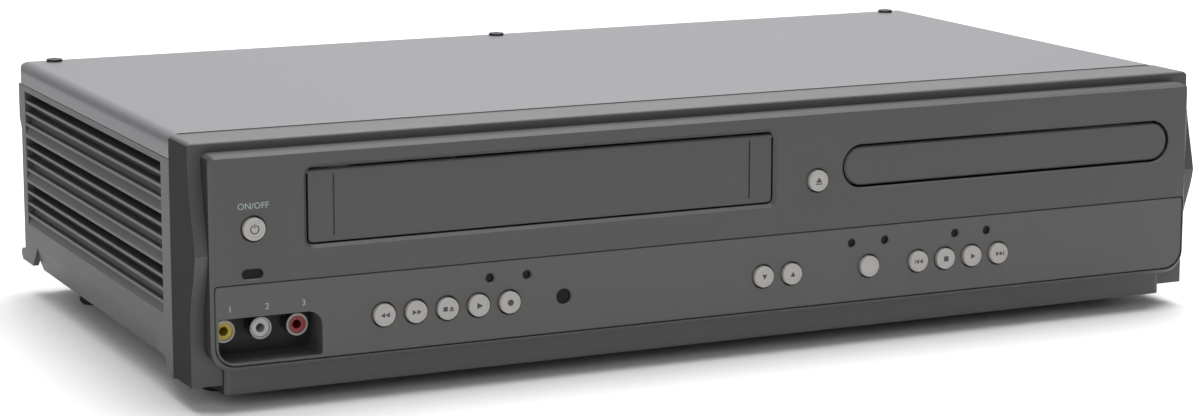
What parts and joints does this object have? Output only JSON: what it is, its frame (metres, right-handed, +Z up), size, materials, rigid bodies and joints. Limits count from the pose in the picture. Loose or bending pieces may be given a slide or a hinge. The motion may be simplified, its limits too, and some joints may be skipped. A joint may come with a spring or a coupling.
{
  "type": "dvd vcr combo player",
  "caption": "Low full-width home player with a cassette door, a motor-driven disc tray, round front buttons, an AV jack recess, louvred sides and a sheet-metal lid.",
  "frame": {"origin": "on the surface it stands on, under the middle of the whole cabinet's box", "axes": "+X to the right along the front, +Y towards the rear, +Z up; the front faces -Y"},
  "size_m": [0.435, 0.247, 0.1007],
  "materials": {
    "cover_paint": "fine satin grey paint",
    "bezel_plastic": "satin charcoal moulding",
    "control_plastic": "satin charcoal moulding",
    "side_plastic": "near-black fine texture",
    "button_silver": "satin metallic lacquer",
    "chassis_steel": "black coated sheet",
    "rear_paint": "black fine texture",
    "screw_steel": "black zinc",
    "foot_rubber": "matt",
    "lens_smoke": "smoked",
    "jack_black": "black",
    "jack_metal": "nickel plate",
    "jack_colours": "yellow, white and red",
    "board_laminate": "green solder resist",
    "zinc_sheet": "zinc-plated sheet",
    "machined_aluminium": "machined",
    "bright_steel": "ground",
    "motor_can": "plated can",
    "white_acetal": "natural acetal",
    "black_mould": "black",
    "roller_rubber": "ground rubber"
  },
  "bodies": {
    "cabinet": {"base_chassis": "chassis_steel", "left_louvre_panel": "side_plastic", "right_louvre_panel": "side_plastic", "top_cover": "cover_paint", "cover_screws": "screw_steel", "feet": "foot_rubber", "rear_panel": "rear_paint", "front_bezel": "bezel_plastic", "control_panel": "control_plastic", "lenses": "lens_smoke", "front_board": "board_laminate", "jack_block": "jack_black", "jack_shells": "jack_metal", "jack_inserts": "jack_colours", "rear_sockets": "jack_metal", "cord_bushing": "jack_black", "floor_boards": "board_laminate", "deck_plate": "zinc_sheet", "drum_base": "machined_aluminium", "tape_heads": "bright_steel", "lift_brackets": "zinc_sheet", "loader_frame": "black_mould", "loading_motor": "motor_can", "clamp_bridge": "zinc_sheet"},
    "cassette_door": {"cassette_door": "bezel_plastic"},
    "tray": {"disc_tray": "black_mould", "tray_front": "bezel_plastic"},
    "tray_gear": {"tray_gear": "white_acetal"},
    "motor_gear": {"motor_gear": "white_acetal"},
    "pickup_unit": {"pickup_frame": "zinc_sheet", "sled_rods": "bright_steel", "pickup_motors": "motor_can"},
    "turntable": {"turntable": "white_acetal"},
    "optical_pickup": {"optical_pickup": "black_mould"},
    "feed_gear": {"feed_gear": "white_acetal"},
    "clamper": {"clamper": "white_acetal"},
    "supply_reel": {"supply_reel": "black_mould"},
    "takeup_reel": {"takeup_reel": "black_mould"},
    "head_drum": {"head_drum": "machined_aluminium"},
    "capstan": {"capstan": "bright_steel"},
    "pinch_arm": {"pinch_arm": "white_acetal"},
    "pinch_roller": {"pinch_roller": "roller_rubber"},
    "supply_guide": {"supply_guide": "bright_steel"},
    "takeup_guide": {"takeup_guide": "bright_steel"},
    "carriage": {"carriage": "zinc_sheet"},
    "cassette_holder": {"cassette_holder": "zinc_sheet"},
    "standby_button": {"standby_button": "button_silver"},
    "open_close_button": {"open_close_button": "button_silver"},
    "source_button": {"source_button": "button_silver"},
    "rewind_button": {"rewind_button": "button_silver"},
    "fast_forward_button": {"fast_forward_button": "button_silver"},
    "tape_stop_eject_button": {"tape_stop_eject_button": "button_silver"},
    "tape_play_button": {"tape_play_button": "button_silver"},
    "record_button": {"record_button": "button_silver"},
    "tracking_down_button": {"tracking_down_button": "button_silver"},
    "tracking_up_button": {"tracking_up_button": "button_silver"},
    "disc_previous_button": {"disc_previous_button": "button_silver"},
    "disc_stop_button": {"disc_stop_button": "button_silver"},
    "disc_play_button": {"disc_play_button": "button_silver"},
    "disc_next_button": {"disc_next_button": "button_silver"}
  },
  "joints": [
    {"name": "door_hinge", "type": "hinge", "parent": "cabinet", "child": "cassette_door", "pos_m": [-0.07945, -0.11985, 0.087], "axis": [1, 0, 0], "range_deg": [0, 88], "stiffness_Nm_per_rad": 0.004, "springref_deg": -28.65},
    {"name": "tray_slide", "type": "slide", "parent": "cabinet", "child": "tray", "axis": [0, -1, 0], "range_m": [0, 0.14]},
    {"name": "tray_gear_spin", "type": "hinge", "parent": "cabinet", "child": "tray_gear", "pos_m": [0.069, -0.08295, 0.0652], "axis": [0, 0, 1], "range_deg": [0, 1003]},
    {"name": "motor_gear_spin", "type": "hinge", "parent": "cabinet", "child": "motor_gear", "pos_m": [0.089, -0.08295, 0.0618], "axis": [0, 0, 1], "range_deg": [-2340, 0]},
    {"name": "pickup_tilt", "type": "hinge", "parent": "cabinet", "child": "pickup_unit", "pos_m": [0.1253, 0.05705, 0.06], "axis": [1, 0, 0], "range_deg": [0, 8.51]},
    {"name": "turntable_spin", "type": "hinge", "parent": "pickup_unit", "child": "turntable", "pos_m": [0.1253, -0.04095, 0.0751], "axis": [0, 0, 1], "continuous": true},
    {"name": "pickup_slide", "type": "slide", "parent": "pickup_unit", "child": "optical_pickup", "axis": [0, 1, 0], "range_m": [0, 0.033]},
    {"name": "feed_gear_spin", "type": "hinge", "parent": "pickup_unit", "child": "feed_gear", "pos_m": [0.1559, 0.01155, 0.064], "axis": [0, 0, 1], "range_deg": [-338, 0]},
    {"name": "clamper_spin", "type": "hinge", "parent": "cabinet", "child": "clamper", "pos_m": [0.1253, -0.04095, 0.0776], "axis": [0, 0, 1], "continuous": true},
    {"name": "supply_reel_spin", "type": "hinge", "parent": "cabinet", "child": "supply_reel", "pos_m": [-0.12545, -0.02895, 0.0316], "axis": [0, 0, 1], "continuous": true},
    {"name": "takeup_reel_spin", "type": "hinge", "parent": "cabinet", "child": "takeup_reel", "pos_m": [-0.03345, -0.02895, 0.0316], "axis": [0, 0, 1], "continuous": true},
    {"name": "head_drum_spin", "type": "hinge", "parent": "cabinet", "child": "head_drum", "pos_m": [-0.07945, 0.05305, 0.0316], "axis": [0, -0.0872, 0.9962], "continuous": true},
    {"name": "capstan_spin", "type": "hinge", "parent": "cabinet", "child": "capstan", "pos_m": [-0.018, 0.02205, 0.0316], "axis": [0, 0, 1], "continuous": true},
    {"name": "pinch_arm_swing", "type": "hinge", "parent": "cabinet", "child": "pinch_arm", "pos_m": [0.006, 0.03705, 0.046], "axis": [0, 0, 1], "range_deg": [-12, 0]},
    {"name": "pinch_roller_spin", "type": "hinge", "parent": "pinch_arm", "child": "pinch_roller", "pos_m": [-0.00822, 0.01258, 0.046], "axis": [0, 0, 1], "continuous": true},
    {"name": "supply_guide_slide", "type": "slide", "parent": "cabinet", "child": "supply_guide", "axis": [-0.3256, 0.9455, 0], "range_m": [0, 0.044]},
    {"name": "takeup_guide_slide", "type": "slide", "parent": "cabinet", "child": "takeup_guide", "axis": [0.3256, 0.9455, 0], "range_m": [0, 0.044]},
    {"name": "carriage_slide", "type": "slide", "parent": "cabinet", "child": "carriage", "axis": [0, 1, 0], "range_m": [0, 0.025]},
    {"name": "holder_drop", "type": "slide", "parent": "carriage", "child": "cassette_holder", "axis": [0, 0, -1], "range_m": [0, 0.026]},
    {"name": "standby_press", "type": "slide", "parent": "cabinet", "child": "standby_button", "axis": [0, 1, 0], "range_m": [0, 0.0006], "stiffness_N_per_m": 300, "springref_m": -0.0015},
    {"name": "open_close_press", "type": "slide", "parent": "cabinet", "child": "open_close_button", "axis": [0, 1, 0], "range_m": [0, 0.0006], "stiffness_N_per_m": 300, "springref_m": -0.0015},
    {"name": "source_press", "type": "slide", "parent": "cabinet", "child": "source_button", "axis": [0, 1, 0], "range_m": [0, 0.0006], "stiffness_N_per_m": 300, "springref_m": -0.0015},
    {"name": "rewind_press", "type": "slide", "parent": "cabinet", "child": "rewind_button", "axis": [0, 1, 0], "range_m": [0, 0.0006], "stiffness_N_per_m": 300, "springref_m": -0.0015},
    {"name": "fast_forward_press", "type": "slide", "parent": "cabinet", "child": "fast_forward_button", "axis": [0, 1, 0], "range_m": [0, 0.0006], "stiffness_N_per_m": 300, "springref_m": -0.0015},
    {"name": "tape_stop_eject_press", "type": "slide", "parent": "cabinet", "child": "tape_stop_eject_button", "axis": [0, 1, 0], "range_m": [0, 0.0006], "stiffness_N_per_m": 300, "springref_m": -0.0015},
    {"name": "tape_play_press", "type": "slide", "parent": "cabinet", "child": "tape_play_button", "axis": [0, 1, 0], "range_m": [0, 0.0006], "stiffness_N_per_m": 300, "springref_m": -0.0015},
    {"name": "record_press", "type": "slide", "parent": "cabinet", "child": "record_button", "axis": [0, 1, 0], "range_m": [0, 0.0006], "stiffness_N_per_m": 300, "springref_m": -0.0015},
    {"name": "tracking_down_press", "type": "slide", "parent": "cabinet", "child": "tracking_down_button", "axis": [0, 1, 0], "range_m": [0, 0.0006], "stiffness_N_per_m": 300, "springref_m": -0.0015},
    {"name": "tracking_up_press", "type": "slide", "parent": "cabinet", "child": "tracking_up_button", "axis": [0, 1, 0], "range_m": [0, 0.0006], "stiffness_N_per_m": 300, "springref_m": -0.0015},
    {"name": "disc_previous_press", "type": "slide", "parent": "cabinet", "child": "disc_previous_button", "axis": [0, 1, 0], "range_m": [0, 0.0006], "stiffness_N_per_m": 300, "springref_m": -0.0015},
    {"name": "disc_stop_press", "type": "slide", "parent": "cabinet", "child": "disc_stop_button", "axis": [0, 1, 0], "range_m": [0, 0.0006], "stiffness_N_per_m": 300, "springref_m": -0.0015},
    {"name": "disc_play_press", "type": "slide", "parent": "cabinet", "child": "disc_play_button", "axis": [0, 1, 0], "range_m": [0, 0.0006], "stiffness_N_per_m": 300, "springref_m": -0.0015},
    {"name": "disc_next_press", "type": "slide", "parent": "cabinet", "child": "disc_next_button", "axis": [0, 1, 0], "range_m": [0, 0.0006], "stiffness_N_per_m": 300, "springref_m": -0.0015}
  ],
  "couplings": [
    {"joint": "tray_gear_spin", "follows": "tray_slide", "rad_per_m": 125},
    {"joint": "motor_gear_spin", "follows": "tray_slide", "rad_per_m": -291.67},
    {"joint": "pickup_tilt", "follows": "tray_slide", "rad_per_m": 1.0597},
    {"joint": "feed_gear_spin", "follows": "pickup_slide", "rad_per_m": -178.57},
    {"joint": "takeup_guide_slide", "follows": "supply_guide_slide", "ratio": 1}
  ]
}
